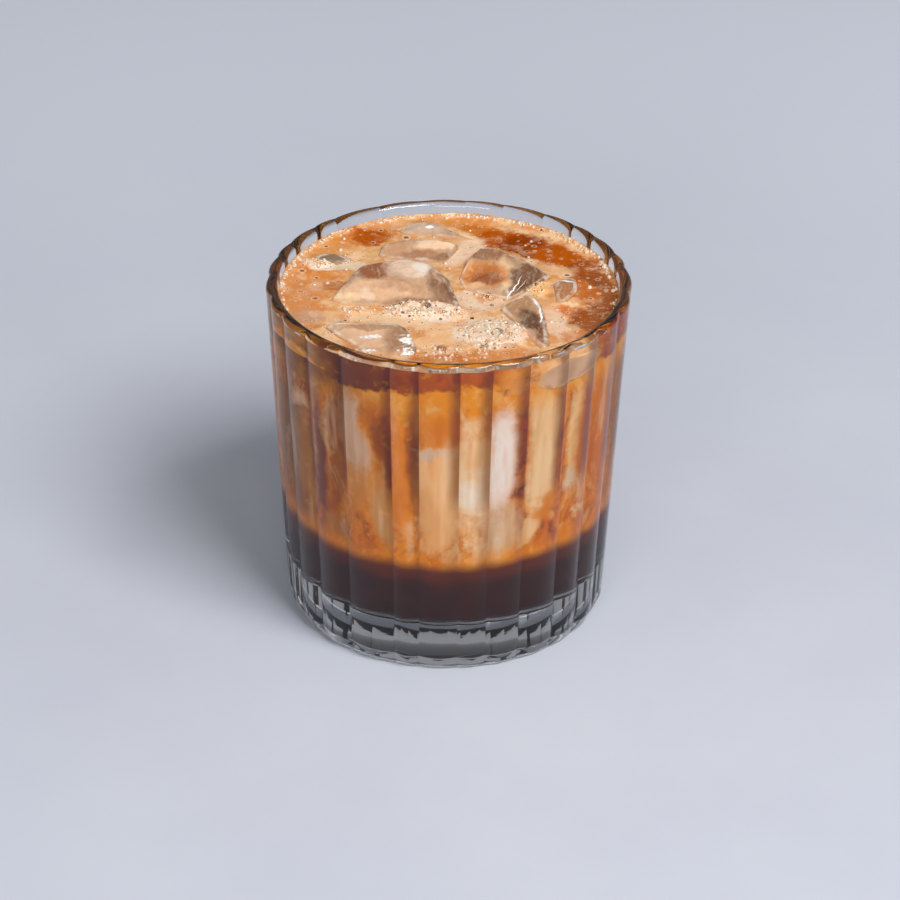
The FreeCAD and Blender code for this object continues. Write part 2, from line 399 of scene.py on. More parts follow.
def press_ribs(thing, material):
    """Geometry nodes press the ribs into a turned blank, as deep as its rib_share says."""
    sheet, group, inputs = start_tree("press_ribs", "Rib Depth")
    where = sheet.node("GeometryNodeInputPosition")
    axes = sheet.node("ShaderNodeSeparateXYZ", None, where)
    x, y = axes.out("X"), axes.out("Y")
    angle = x.math("ARCTAN2", x, 0 - y) * math.degrees(1) - FIRST_GROOVE
    angle = angle.math("FLOORED_MODULO", angle + 1e-4, RIB_RUN)
    swell = None
    start = 0.0
    for width in RIB_WIDTHS:
        share = (angle - start) / width
        rise = share.math("MAXIMUM", 4 * share * (1 - share), 0.0)
        swell = rise if swell is None else swell + rise
        start += width
    share_of_rib = sheet.node("GeometryNodeInputNamedAttribute", {"data_type": "FLOAT"}, "rib_share")
    sunk = (swell - 1) * group.out("Rib Depth") * share_of_rib
    outward = sheet.vector("NORMALIZE", sheet.vector("MULTIPLY", where, (1.0, 1.0, 0.0)))
    move = sheet.node("ShaderNodeVectorMath", {"operation": "SCALE"}, outward, Scale=sunk)
    end_tree(sheet, sheet.node("GeometryNodeSetPosition", None, group, Offset=move), material)
    run_tree(thing, sheet, inputs, {"Rib Depth": RIB_DEPTH * MM})


def glass_profile():
    """(radius, z, share of the rib depth) from the middle of the punt round to the middle of the floor."""
    points = []
    dome = (PUNT_RADIUS ** 2 + PUNT_DEPTH ** 2) / (2 * PUNT_DEPTH)
    for share in (0.0, 0.25, 0.5, 0.75, 0.92, 0.98, 1.0):
        radius = PUNT_RADIUS * share
        points.append((radius, PUNT_DEPTH - dome + math.sqrt(dome ** 2 - radius ** 2), 0.0))
    foot = FOOT_RADIUS - HEEL_INSET
    heel = outer_radius(HEEL_HEIGHT)
    points += [(foot - 3.0, 0.0, 0.0), (foot - 0.6, 0.0, 0.2)]
    points += [(foot - 0.15, 0.06, 0.35), (foot, 0.25, 0.45)]
    points += [(foot + (heel - foot) * s, HEEL_HEIGHT * s, 0.45 + 0.55 * s) for s in (0.3, 0.6, 0.85, 0.95)]
    points += [(outer_radius(z), z, 1.0) for z in (HEEL_HEIGHT, HEEL_HEIGHT + 0.3, HEEL_HEIGHT + 1.2)]
    shoulder = GLASS_HEIGHT - LIP_ROUND
    points += [(outer_radius(z), z, 1.0) for z in np.linspace(HEEL_HEIGHT + 4, shoulder - 0.4, 12)]
    lip = (RIM_RADIUS - LIP_ROUND - 0.05, shoulder)
    for place, (radius, z) in enumerate(arc(lip, LIP_ROUND, 0, 90, 8)):
        points.append((radius, z, 1.0 - 0.75 * place / 7))
    inner = bore_radius(GLASS_HEIGHT)
    points += [(r, z, 0.0) for r, z in arc((inner + LIP_ROUND, shoulder), LIP_ROUND, 90, 180, 8)]
    rounding = [(r, z, 0.0) for r, z in reversed(floor_curve(0.0))]
    top_of_rounding = rounding[0][1]
    points += [(bore_radius(z), z, 0.0) for z in np.linspace(shoulder - 1.5, top_of_rounding + 1.0, 14)]
    return points + rounding


def make_glass(material):
    profile = glass_profile()
    angles = rib_angles()
    thing = lathe("tumbler", [(radius, z) for radius, z, _ in profile], angles)
    shares = []
    for radius, _, share in profile:
        shares += [share] * (1 if radius == 0 else len(angles))
    keep_on_points(thing, "rib_share", shares)
    press_ribs(thing, material)
    return thing


def clear_glass():
    material, sheet, shader = new_material("pressed_glass", Base_Color=(0.985, 0.99, 0.99, 1.0),
                                           Roughness=0.0, IOR=GLASS_IOR, Specular_IOR_Level=0.22,
                                           Transmission_Weight=1.0)
    sheet.set(shader, Normal=sheet.bump(sheet.noise(sheet.place(), 60.0, 2.0), 0.02, 0.0004))
    return material


# ---------------------------------------------------------------- the drink

# Colours of the drink, as they are in plain light before the glass dulls them.
CREAM = (255, 206, 150)
GOLDEN = (250, 154, 36)
AMBER = (222, 118, 16)
BROWN = (148, 68, 4)
DEEP_BROWN = (108, 50, 4)
CHOCOLATE = (56, 32, 20)
CREMA = (182, 84, 6)
CREMA_DARK = (146, 58, 2)
FOAM_TAN = (224, 156, 96)
FOAM_WHITE = (240, 212, 186)
# The share of light that is left in the shade beside a groove, and in the finer streaks down the drink.
SHADE = (0.4, 0.26, 0.16, 1.0)
RUN_SHADE = (0.84, 0.68, 0.5, 1.0)
# How wide the shade is in degrees, and the height at which it fades out.
SHADE_WIDTH = 5.6
SHADE_FOOT = 46.0
# How much brighter and how much deeper the drink is painted than it looks through the glass.
GLASS_GAIN = (1.1, 1.1, 1.06)
GLASS_GLOSS = (-0.012, -0.016, -0.032)
# How much lower the crema reaches on the left of the front.
CREMA_SAG = 2.0
# How much softer the plumes are at their edges than the table says.
PLUME_BLUR = 0.15

# Plumes in the milk coffee: angle, height, half width in degrees, half height, tilt, softness, colour.
PLUMES = (
    (-66, 50, 12, 22, 0, 0.5, (150, 98, 62)),
    (-58, 62.5, 4.5, 4, -30, 0.4, (240, 196, 158)),
    (-56.5, 49, 4.5, 10, 0, 0.4, (196, 132, 78)),
    (-49, 66, 2.5, 3, 0, 0.6, (226, 142, 76)),
    (-47.5, 49, 2.4, 15, 0, 0.5, (126, 58, 22)),
    (-41, 56, 3.5, 18, 0, 0.6, (158, 86, 44)),
    (-41, 33, 5, 6, 20, 0.6, (190, 126, 82)),
    (-31, 50, 6.5, 14, 0, 0.35, (226, 152, 88)),
    (-33, 61, 5.6, 10.5, 8, 0.22, (226, 186, 160)),
    (-22.5, 62, 3.4, 15, 8, 0.35, (156, 80, 18)),
    (-24, 72, 6, 3.5, 0, 0.5, (206, 110, 24)),
    (-22.5, 39, 3.8, 10, 6, 0.25, (218, 158, 104)),
    (-15.5, 71.5, 4, 4.5, 0, 0.5, (250, 176, 92)),
    (-16.5, 51, 2.8, 14, 0, 0.4, (244, 150, 74)),
    (-11, 57, 2.4, 16, 0, 0.5, (156, 78, 22)),
    (-2, 66.5, 8, 6.5, 0, 0.4, (238, 142, 62)),
    (-3, 46, 8, 14, 0, 0.22, (255, 200, 146)),
    (-5, 58, 5, 2, -8, 0.8, (226, 204, 186)),
    (8.5, 52, 6, 15, 0, 0.3, (255, 214, 168)),
    (9, 48, 3.6, 6, 0, 0.5, (255, 240, 228)),
    (19, 40, 7, 9, 0, 0.5, (230, 194, 160)),
    (18.5, 56.5, 4.6, 13, -4, 0.3, (255, 242, 238)),
    (34, 58, 5.6, 17, 0, 0.25, (255, 216, 168)),
    (37, 41, 4, 5, 0, 0.5, (238, 148, 66)),
    (30.5, 35, 4.6, 4.4, 20, 0.3, (252, 206, 154)),
    (48, 60, 2.6, 12, 0, 0.4, (255, 216, 160)),
    (52, 58, 3.5, 14, 0, 0.6, (222, 126, 56)),
    (47.5, 45, 3, 5, 0, 0.5, (232, 204, 172)),
    (66, 52, 9, 18, 0, 0.4, (222, 122, 40)),
    (82, 56, 8, 24, 0, 0.5, (152, 96, 60)),
    (100, 58, 9, 12, 0, 0.4, CREAM),
    (128, 46, 8, 14, 0, 0.4, (240, 190, 140)),
    (160, 56, 8, 14, 0, 0.4, CREAM),
    (-170, 42, 7, 10, 0, 0.4, (246, 200, 152)),
    (-140, 58, 9, 12, 0, 0.4, CREAM),
    (-112, 44, 7, 13, 0, 0.4, (236, 184, 134)),
)

def groove_angles():
    """The groove at the end of each rib, for one run of ribs, from the run's first groove."""
    return [sum(RIB_WIDTHS[:place + 1]) for place in range(len(RIB_WIDTHS))]


def wall_place(sheet):
    """Where a point lies: its place in millimetres, its angle from the front and its height."""
    scaled = sheet.vector("MULTIPLY", sheet.place(), (1 / MM, 1 / MM, 1 / MM))
    axes = sheet.node("ShaderNodeSeparateXYZ", None, scaled)
    x, y, z = axes.out("X"), axes.out("Y"), axes.out("Z")
    angle = x.math("ARCTAN2", x, 0 - y) * math.degrees(1)
    return scaled, angle, z


def behind_glass(sheet, shade):
    """Deepens a colour, to make up for the gloss of the glass over it."""
    deeper = sheet.vector("MULTIPLY_ADD", shade, GLASS_GAIN, GLASS_GLOSS)
    return sheet.vector("MAXIMUM", deeper, (0.0, 0.0, 0.0))


def beside_grooves(sheet, shade, angle, z, strength):
    """A colour through the glass, with the soft painted shadow that each groove throws on it to its left.
    """
    turned = angle.math("FLOORED_MODULO", angle - FIRST_GROOVE, RIB_RUN)
    groove_shadows = most(sheet.ramp(turned, groove - SHADE_WIDTH, groove - 1.2) * (turned < groove)
                 for groove in groove_angles())
    groove_shadows = groove_shadows * sheet.ramp(z, SHADE_FOOT - 6, SHADE_FOOT + 3, 0.15, 1.0)
    return behind_glass(sheet, sheet.mix(groove_shadows * strength, shade, SHADE, "MULTIPLY"))


def crema_band(sheet, angle, drift, fine):
    """The foam through the wall: dark crema on the left, orange in the middle, cream on the right."""
    bent = angle + (drift - 0.5) * 40
    band = sheet.tint((196, 128, 70), (124, 60, 0), bent, -58.0, -40.0)
    for low, high, shade in ((-30.0, 0.0, (186, 88, 4)), (5.0, 26.0, (236, 152, 80)),
                             (24.0, 36.0, (246, 190, 136)), (52.0, 64.0, (176, 84, 22)),
                             (90.0, 120.0, (224, 150, 84))):
        band = sheet.tint(band, shade, bent, low, high)
    band = sheet.tint(band, (120, 46, 0), fine, 0.5, 0.7, 0.5)
    return sheet.tint(band, (250, 166, 74), fine, 0.44, 0.28, 0.4)


def crema_over(sheet, base, drift, fine, angle, z):
    """The crema over what lies under it. The line between them wavers."""
    sag = sheet.ramp(angle, -24.0, -12.0, 1.0, -0.6) * CREMA_SAG
    sag = sag * sheet.ramp(angle, -54.0, -40.0) * sheet.ramp(angle, 16.0, 8.0)
    height = z + sag + (drift - 0.5) * 14 + (fine - 0.5) * 3
    band = crema_band(sheet, angle, drift, fine)
    return sheet.tint(base, band, height, FOAM_BOTTOM - 0.9, FOAM_BOTTOM + 0.3)


def milk_colour(sheet):
    """The marbled colour of the milk coffee, from dark chocolate at its foot to gold under the foam."""
    scaled, angle, z = wall_place(sheet)
    drift = sheet.noise(scaled, 0.06, 5.0, 0.6)
    flat = sheet.node("ShaderNodeCombineXYZ", None, angle, z, 0.0)
    pushed = sheet.push(flat, drift, (8.0, 30.0, 0.0))
    pushed = sheet.push(pushed, sheet.noise(scaled, 0.2, 3.0, 0.6), (3.0, 16.0, 0.0))
    curl = sheet.push(sheet.vector("MULTIPLY", scaled, (1.0, 1.0, 0.3)), drift, (16.0, 16.0, 9.0))
    broad = sheet.noise(curl, 0.085, 3.0, 0.55)
    fine = sheet.noise(curl, 0.34, 4.0, 0.6)
    tone = broad + (fine - 0.5) * 0.4
    stops = [(0.30, BROWN), (0.42, AMBER), (0.52, GOLDEN), (0.6, AMBER), (0.72, CREAM)]
    base = sheet.node("ShaderNodeValToRGB", {"stops": stops}, tone)
    streaks = sheet.noise(sheet.vector("MULTIPLY", curl, (1.0, 1.0, 0.5)), 0.45, 4.0, 0.55)
    base = sheet.tint(base, AMBER, streaks, 0.52, 0.7, 0.34)
    base = sheet.tint(base, CREAM, streaks, 0.46, 0.34, 0.3)
    for turn, height, wide, tall, tilt, soft, shade in PLUMES:
        mask = sheet.blob(pushed, (turn, height), (wide, tall), tilt, min(0.9, soft + PLUME_BLUR))
        base = sheet.mix(mask * 0.95, base, shade)
    base = sheet.tint(base, AMBER, streaks, 0.52, 0.7, 0.08)
    base = sheet.tint(base, CREAM, streaks, 0.46, 0.34, 0.16)
    run = sheet.noise(sheet.vector("MULTIPLY", scaled, (1.0, 1.0, 0.12)), 0.34, 2.5, 0.55)
    base = sheet.mix(sheet.ramp(run, 0.42, 0.66) * 0.7, base, RUN_SHADE, "MULTIPLY")
    base = sheet.tint(base, (255, 228, 196), run, 0.46, 0.3, 0.3)
    wobble = (drift - 0.5) * 9
    gilt = sheet.tint(GOLDEN, (252, 184, 96), fine, 0.42, 0.6)
    base = sheet.tint(base, gilt, z + wobble, FOAM_BOTTOM - 9, FOAM_BOTTOM - 1, 0.8)
    left = sheet.ramp(angle, -24.0, -48.0) * sheet.ramp(angle, -110.0, -80.0)
    left = left * sheet.ramp(z + wobble * 2, FOAM_BOTTOM - 9, FOAM_BOTTOM - 3)
    base = sheet.mix(left * 0.8, base, DEEP_BROWN)
    orange = sheet.tint(GOLDEN, AMBER, fine, 0.4, 0.62)
    base = sheet.tint(base, orange, z + wobble, CHOCOLATE_TOP + 8, CHOCOLATE_TOP + 1.5, 0.75)
    low = z + wobble * 0.4
    base = sheet.tint(base, DEEP_BROWN, low, CHOCOLATE_TOP + 3.6, CHOCOLATE_TOP + 0.2)
    base = sheet.tint(base, CHOCOLATE, low, CHOCOLATE_TOP + 0.9, CHOCOLATE_TOP - 2.4)
    base = crema_over(sheet, base, drift, fine, angle, z)
    return beside_grooves(sheet, base, angle, z, 0.9)


def liquid(name, paint):
    """A drink against glass, which mirrors it where it is met at a glancing angle from within the glass."""
    material, sheet, shader = new_material(name, Roughness=0.5, Specular_IOR_Level=0.0)
    sheet.set(shader, Base_Color=paint(sheet))
    glance = sheet.node("ShaderNodeFresnel", None, DRINK_IOR / GLASS_IOR)
    mirror = sheet.node("ShaderNodeBsdfGlossy", None, Color=(1.0, 1.0, 1.0, 1.0), Roughness=0.0)
    sheet.show(sheet.node("ShaderNodeMixShader", None, glance, Link(sheet, shader.outputs[0]), mirror))
    return material


def chocolate_colour(sheet):
    scaled, _, z = wall_place(sheet)
    cloud = sheet.noise(scaled, 0.09, 4.0, 0.6)
    base = sheet.tint(CHOCOLATE, (62, 34, 28), cloud, 0.4, 0.7)
    height = z + (cloud - 0.5) * 6
    base = sheet.tint(base, DEEP_BROWN, height, CHOCOLATE_TOP - 5, CHOCOLATE_TOP + 0.6, 0.8)
    return behind_glass(sheet, base)


def make_chocolate(material):
    top = (bore_radius(CHOCOLATE_TOP) + INTO_WALL, CHOCOLATE_TOP)
    profile = [*floor_curve(INTO_WALL), top, (0.0, CHOCOLATE_TOP)]
    return lathe("dark_chocolate", profile, round_angles(180), material)


def make_milk(material):
    side = [(bore_radius(z) + INTO_WALL, z) for z in np.linspace(CHOCOLATE_TOP, FOAM_BOTTOM, 8)]
    profile = [(0.0, CHOCOLATE_TOP), *side, (0.0, FOAM_BOTTOM)]
    return lathe("milk_and_coffee", profile, round_angles(240), material)


# ---------------------------------------------------------------- the ice

# Each block: its corners as (x, y, height over the foam); the block is their hull.
ICE = {
    "ice_middle_left": (
        (-27.3, -4.9, 0.3), (-24, -7.2, 0.3), (-16, -7.8, 0.3), (-21.6, 1.8, 2.3), (-6.5, 1.4, 2.5),
        (-20.4, 7.5, 2.6), (-17, 9.2, 2.8), (-9, 11.2, 2.9), (-4.6, 8.6, 2.9), (-2.6, 5.2, 2.7),
        (0.2, 3.4, 1.2), (3, -9.2, 0.3),
    ),
    "ice_back_middle": (
        (-16.6, 17, 0.3), (-15.4, 21.6, 1.5), (-11, 22.6, 1.8), (-3, 22.6, 1.9), (2.4, 21.6, 1.3),
        (-1.2, 13.6, 0.2), (-6, 15, 0.8), (-14, 15.6, 0.4),
    ),
    "ice_back_wall": (
        (-12.5, 30.6, 0.3), (-9, 33.6, 1.2), (-4.6, 33.2, 1.5), (-1.6, 30, 1), (3, 28.4, 0.9),
        (7, 25.6, 0.4), (-3, 27, 0.2), (-11, 28.4, 0.2),
    ),
    "ice_middle_right": (
        (2, 6.4, 0.6), (5, 14.6, 1.9), (7, 18, 2.4), (10.8, 17, 2.6), (15, 13.6, 2.5), (20, 9, 1.9),
        (23.6, 7, 1), (18, 0.2, 0.6), (14, -4.4, 0.3), (11.6, 8.6, 2.5), (13.2, -1, 1.4), (3.4, 0.2, 0.3),
    ),
    "ice_front_right": (
        (11.4, -8.6, 0.5), (13.6, -13, 0.3), (19.4, -17.4, 0.9), (20.4, -27, 0.3), (22.6, -26.4, 0.4),
        (22.2, -15.6, 1.4), (21.2, -8.4, 2), (18.2, -3.4, 2.2), (14.6, -5.6, 1.6),
    ),
    "ice_right": (
        (24.2, -5.6, 0.3), (24, 3.4, 1.1), (27.4, 6.2, 1.3), (29.4, 5.4, 1.2), (29.6, 0.4, 0.7),
        (27, -4.8, 0.3),
    ),
    "ice_front_left": (
        (-28, -18.2, 1), (-24.6, -17.4, 1.6), (-16, -18.6, 2), (-11.6, -18.8, 2.1), (-8.6, -22, 1.9),
        (-7, -27.4, 1), (-7.4, -31, 0.3), (-18, -30.4, 0.3), (-26, -21.6, 0.8),
    ),
    "ice_left_wall": (
        (-32.4, 14.4, 0.3), (-30.6, 16.6, 1), (-27.8, 17.4, 1.4), (-25.2, 16.4, 1.2), (-20.8, 14.4, 0.5),
        (-26, 12.8, 0.2),
    ),
    "ice_front": (
        (3.5, -17, 0.5), (4.5, -26, 0.3), (15, -27, 0.2), (15.5, -21, 0.8), (12.5, -15, 0.9),
        (8, -14.6, 0.9),
    ),
}
# How deep the blocks reach under the foam, and how much narrower they are at their foot.
ICE_DEPTH = 7.0
ICE_TAPER = 0.82
# How far the foam dips under the ice.
ICE_DIP = 2.3
# How far the edges of the ice have melted away, and how fine its mesh is.
ICE_EDGE = 0.8
ICE_GRAIN = 0.3
# The ripples that melting leaves on the ice: how long and how high they are.
ICE_RIPPLES = ((5.0, 0.34), (1.9, 0.09))

# Milky films and depths of the ice: x, y, half sizes, turn, strength, colour.
ICE_FILMS = (
    (-18.2, 6, 4.8, 4, 0, 0.9, (150, 84, 44)),
    (-8.4, 6.8, 6.2, 5, 0, 0.95, (242, 206, 176)),
    # A painted highlight on the top of the middle-left block.
    (-5.8, 7, 2.6, 3, 0, 0.8, (255, 242, 226)),
    (-16, -2.2, 10, 4.4, 0, 0.95, (230, 180, 138)),
    (-23.5, -5, 3.5, 2, 0, 0.9, (255, 216, 166)),
    (-18.8, -4, 1.4, 3, 20, 0.45, (255, 232, 206)),
    (-11, -1, 5, 2.2, -14, 0.8, (196, 140, 100)),
    (-8, -6.8, 8, 1.6, 6, 0.85, (146, 92, 58)),
    (-0.4, -1, 3.8, 8.6, 16, 0.95, (120, 74, 44)),
    (-2, 2.4, 1.4, 3.6, 30, 0.7, (214, 166, 128)),
    (-12.6, 18, 4.4, 3.6, 0, 0.9, (206, 150, 108)),
    (-6.4, 16.4, 4.4, 2.2, 0, 0.9, (176, 112, 70)),
    (-3, 20.8, 5.4, 2, 0, 0.95, (252, 210, 168)),
    (-1.2, 15, 2.6, 2.6, 0, 0.9, (124, 74, 44)),
    (-6.5, 31.2, 6.6, 3, 0, 0.85, (214, 188, 166)),
    (-3.4, 32, 2, 1, 0, 0.9, (168, 146, 128)),
    (3.4, 27.2, 5, 2, -25, 0.85, (158, 132, 112)),
    (10, 14.6, 7, 2.8, -14, 0.9, (166, 112, 76)),
    (3.6, 8, 2.6, 6, 0, 0.95, (244, 190, 142)),
    (13.2, 5.5, 2.4, 7, 0, 0.95, (250, 206, 158)),
    (8, 6, 5.8, 5.6, 0, 0.75, (236, 150, 70)),
    (8.2, 5.4, 4.8, 4.4, 0, 0.7, (220, 118, 24)),
    (8.6, 4.6, 4.4, 3, -8, 0.5, (190, 90, 6)),
    (9.2, 3.8, 3.2, 2, -8, 0.75, (146, 62, 0)),
    (5, 1.2, 3.2, 1.8, 0, 0.9, (244, 190, 138)),
    (17.4, 5, 3.4, 5.6, -24, 0.95, (104, 62, 34)),
    (18, 11.8, 4.6, 1.6, -40, 0.8, (218, 172, 134)),
    (14.8, -2.6, 2.2, 2.8, 0, 0.85, (168, 136, 110)),
    (15.4, -9, 4.6, 4.6, 0, 0.9, (186, 136, 94)),
    (20.6, -9, 1.6, 6.4, 0, 0.9, (214, 166, 124)),
    (21.2, -22, 1.8, 7, 0, 0.95, (136, 80, 42)),
    (18.4, -15.6, 2.2, 4.6, 20, 0.95, (96, 58, 34)),
    (26.8, -0.5, 3, 5.4, -20, 0.9, (172, 108, 62)),
    (-19, -24, 8.4, 5.6, 0, 0.9, (240, 192, 152)),
    (-10.2, -26.6, 3.8, 7.2, 0, 0.9, (150, 102, 68)),
    (-17, -20.2, 6.6, 1.2, 0, 0.85, (178, 130, 94)),
    (-28.4, 15.2, 4.4, 2.4, 0, 0.95, (134, 104, 80)),
    (-24, 14.4, 3, 1.2, 0, 0.9, (96, 74, 58)),
    (9.5, -21, 7, 6.5, 0, 0.9, (255, 230, 204)),
)
# Painted highlights: bright glints where edges and wet faces catch the light: x, y, half sizes, turn,
# strength, and how much they break up into sparkles.
ICE_GLINTS = (
    (-8, 11, 5.4, 0.4, -6, 0.6, 0.1),
    (-1.6, 6.6, 2.8, 0.3, -50, 0.5, 0),
    (2.6, -3.6, 0.3, 5, 14, 0.8, 0),
    (1, 2.6, 0.3, 2.4, 24, 0.6, 0),
    (15, 0.2, 0.12, 4, -20, 1, 0),
    (16.6, 1.4, 0.06, 2.8, -28, 0.5, 0),
    (19.6, -5.4, 0.4, 4.8, 8, 0.9, 0.2),
    (20.7, -13, 0.3, 3.6, 4, 0.8, 0.2),
    (16, -5.6, 2.4, 0.25, 40, 0.6, 0.1),
    (-1, 13, 0.35, 3.4, -24, 0.8, 0),
    (12, 16.6, 3.4, 0.3, -12, 0.6, 0),
    (17, 12.4, 4, 0.25, -42, 0.6, 0),
    (-17, -23.8, 2.6, 0.7, 0, 1, 0.6),
    (-9, -25.6, 1.9, 2.6, 0, 1.1, 0.8),
    (-9.4, -30, 1.8, 2.2, 0, 1, 0.8),
    (-17.6, -29.4, 2.6, 0.7, 0, 0.8, 0.5),
    (-20, -18.2, 6, 0.25, 4, 0.6, 0),
    (-4.6, 30.8, 0.9, 0.4, 0, 0.9, 0),
    (2, 29, 4, 0.3, -26, 0.6, 0),
    (-28, 17, 2.6, 0.3, 0, 0.6, 0),
    (27, 3.6, 2, 0.3, -10, 0.6, 0),
)
GLINT_WHITE = (255, 252, 246)


def make_ice(name, corners, material):
    """A melted block: the hull of its corners, softened and faintly rippled."""
    shape = bmesh.new()
    middle = Vector((sum(c[0] for c in corners), sum(c[1] for c in corners))) / len(corners)
    for x, y, rise in corners:
        shape.verts.new((x, y, FOAM_TOP + rise))
        shape.verts.new((middle.x + (x - middle.x) * ICE_TAPER, middle.y + (y - middle.y) * ICE_TAPER,
                         FOAM_TOP - ICE_DEPTH))
    hull = bmesh.ops.convex_hull(shape, input=shape.verts)
    spare = [v for v in hull["geom_interior"] if isinstance(v, bmesh.types.BMVert)]
    bmesh.ops.delete(shape, geom=spare, context="VERTS")
    bmesh.ops.dissolve_limit(shape, angle_limit=math.radians(4), verts=shape.verts, edges=shape.edges)
    bmesh.ops.bevel(shape, geom=shape.edges, offset=ICE_EDGE, segments=2, profile=0.5, affect="EDGES",
                    clamp_overlap=True)
    bmesh.ops.triangulate(shape, faces=shape.faces)
    thing = piece_from(name.replace("ice_", "melting_ice_"), shape)
    remesh = thing.modifiers.new("even", "REMESH")
    remesh.mode = "VOXEL"
    remesh.voxel_size = ICE_GRAIN * MM
    smooth = thing.modifiers.new("melt", "SMOOTH")
    smooth.factor = 0.5
    smooth.iterations = 5
    settle(thing)
    keep_facets(thing)
    (long, high), (short, low) = ICE_RIPPLES
    for vertex in thing.data.vertices:
        swell = noise.noise(vertex.co / (long * MM)) * high + noise.noise(vertex.co / (short * MM)) * low
        vertex.co += vertex.normal * swell * MM
    thing.data.shade_smooth()
    thing.data.materials.append(material)
    return thing


def keep_facets(thing):
    """Keep each point's normal, and how sharply the ice bends there, for its material."""
    mesh = thing.data
    places, normals = point_values(mesh, "co"), point_values(mesh, "normal")
    pairs = np.empty(len(mesh.edges) * 2, dtype=np.int32)
    mesh.edges.foreach_get("vertices", pairs)
    first, last = pairs.reshape(-1, 2).T
    along = places[last] - places[first]
    bend = np.sum((normals[last] - normals[first]) * along, axis=1) / np.sum(along * along, axis=1) * MM
    total, number = np.zeros(len(places)), np.zeros(len(places))
    for ends in (first, last):
        np.add.at(total, ends, bend)
        np.add.at(number, ends, 1)
    mesh.attributes.new("facing", "FLOAT_VECTOR", "POINT").data.foreach_set("vector", normals.ravel())
    keep_on_points(thing, "sharpness", total / np.maximum(number, 1))


def melting_ice():
    """Clear ice with milky films and brown depths laid into it, and painted light and shade on its faces,
    creases and edges.
    """
    material, sheet, shader = new_material("melting_ice", Base_Color=(0.99, 0.98, 0.97, 1.0),
                                           Roughness=0.02, IOR=ICE_IOR, Transmission_Weight=1.0)
    scaled, _, z = wall_place(sheet)
    drift = sheet.noise(scaled, 0.25, 3.0, 0.6)
    flat = sheet.vector("MULTIPLY", scaled, (1.0, 1.0, 0.0))
    pushed = sheet.push(flat, drift, (4.0, 4.0, 0.0))
    grain = sheet.noise(scaled, 1.2, 4.0, 0.7)
    films, look = [], (214, 166, 126)
    for x, y, wide, tall, turn, strength, shade in ICE_FILMS:
        films.append(sheet.blob(pushed, (x, y), (wide, tall), turn, 0.28) * strength)
        look = sheet.mix(films[-1], look, shade)
    facing = sheet.node("ShaderNodeSeparateXYZ", None, sheet.attribute("facing", "Vector"))
    # Painted shade on faces turned to the right, where the brown depth shows through.
    right = sheet.ramp(facing.out("X") + (grain - 0.5) * 0.06, 0.08, 0.2)
    look = sheet.mix(right * 0.6, look, (112, 68, 40))
    # Painted light on faces turned to the front.
    front = sheet.ramp(0 - facing.out("Y") + (grain - 0.5) * 0.06, 0.07, 0.2) * (1 - right)
    look = sheet.mix(front * 0.22, look, (246, 200, 160))
    # Painted shade on faces turned to the back.
    look = sheet.tint(look, (150, 100, 66), facing.out("Y"), 0.08, 0.25, 0.4)
    sharpness = sheet.attribute("sharpness", "Fac")
    # Painted shade in the creases, where the ice bends inwards.
    look = sheet.tint(look, (150, 98, 62), sharpness, -0.04, -0.25, 0.5)
    fibres = sheet.noise(sheet.vector("MULTIPLY", pushed, (1.0, 0.35, 1.0)), 0.9, 4.0, 0.65)
    look = sheet.tint(look, (248, 222, 196), fibres, 0.45, 0.7, 0.3)
    look = sheet.tint(look, (184, 134, 98), fibres, 0.45, 0.28, 0.3)
    foot = sheet.ramp(z + (grain - 0.5) * 1.4, FOAM_TOP + 0.75, FOAM_TOP + 0.1)
    look = sheet.mix(foot * 0.75, look, (226, 170, 122))
    smoky = sheet.blob(pushed, (-28.0, 15.2), (4.4, 2.0), 0.0, 0.4)
    look = sheet.mix(smoky * 0.85, look, (132, 108, 86))
    # A painted highlight along the sharper edges of the ice.
    edge_highlight = sheet.ramp(sharpness, 0.07, 0.3) * sheet.ramp(drift, 0.4, 0.6)
    look = sheet.mix(edge_highlight * (1 - foot) * 0.6, look, (255, 240, 222))
    # Painted highlights: the glints of ICE_GLINTS, some broken into sparkles.
    shivered = sheet.push(flat, drift, (1.6, 1.6, 0.0))
    speckle = sheet.ramp(grain, 0.62, 0.46)
    glint = most(sheet.blob(shivered, (x, y), (wide, tall), turn, 0.7) * strength - speckle * broken
                 for x, y, wide, tall, turn, strength, broken in ICE_GLINTS)
    glint = sheet.ramp(glint, 0.0, 0.6)
    look = sheet.mix(glint, look, GLINT_WHITE)
    cover = most([*films, 0.8, foot * 0.95, glint])
    bump = sheet.bump(sheet.noise(sheet.place(), 420.0, 2.0), 0.5, 0.0006)
    sheet.set(shader, Normal=bump)
    film = sheet.node("ShaderNodeBsdfPrincipled", None, Base_Color=look, Roughness=0.06, IOR=ICE_IOR,
                      Specular_IOR_Level=0.2, Coat_Weight=0.4, Coat_Roughness=0.02, Normal=bump)
    sheet.show(sheet.node("ShaderNodeMixShader", None, cover, Link(sheet, shader.outputs[0]), film))
    return material


# ---------------------------------------------------------------- the foam

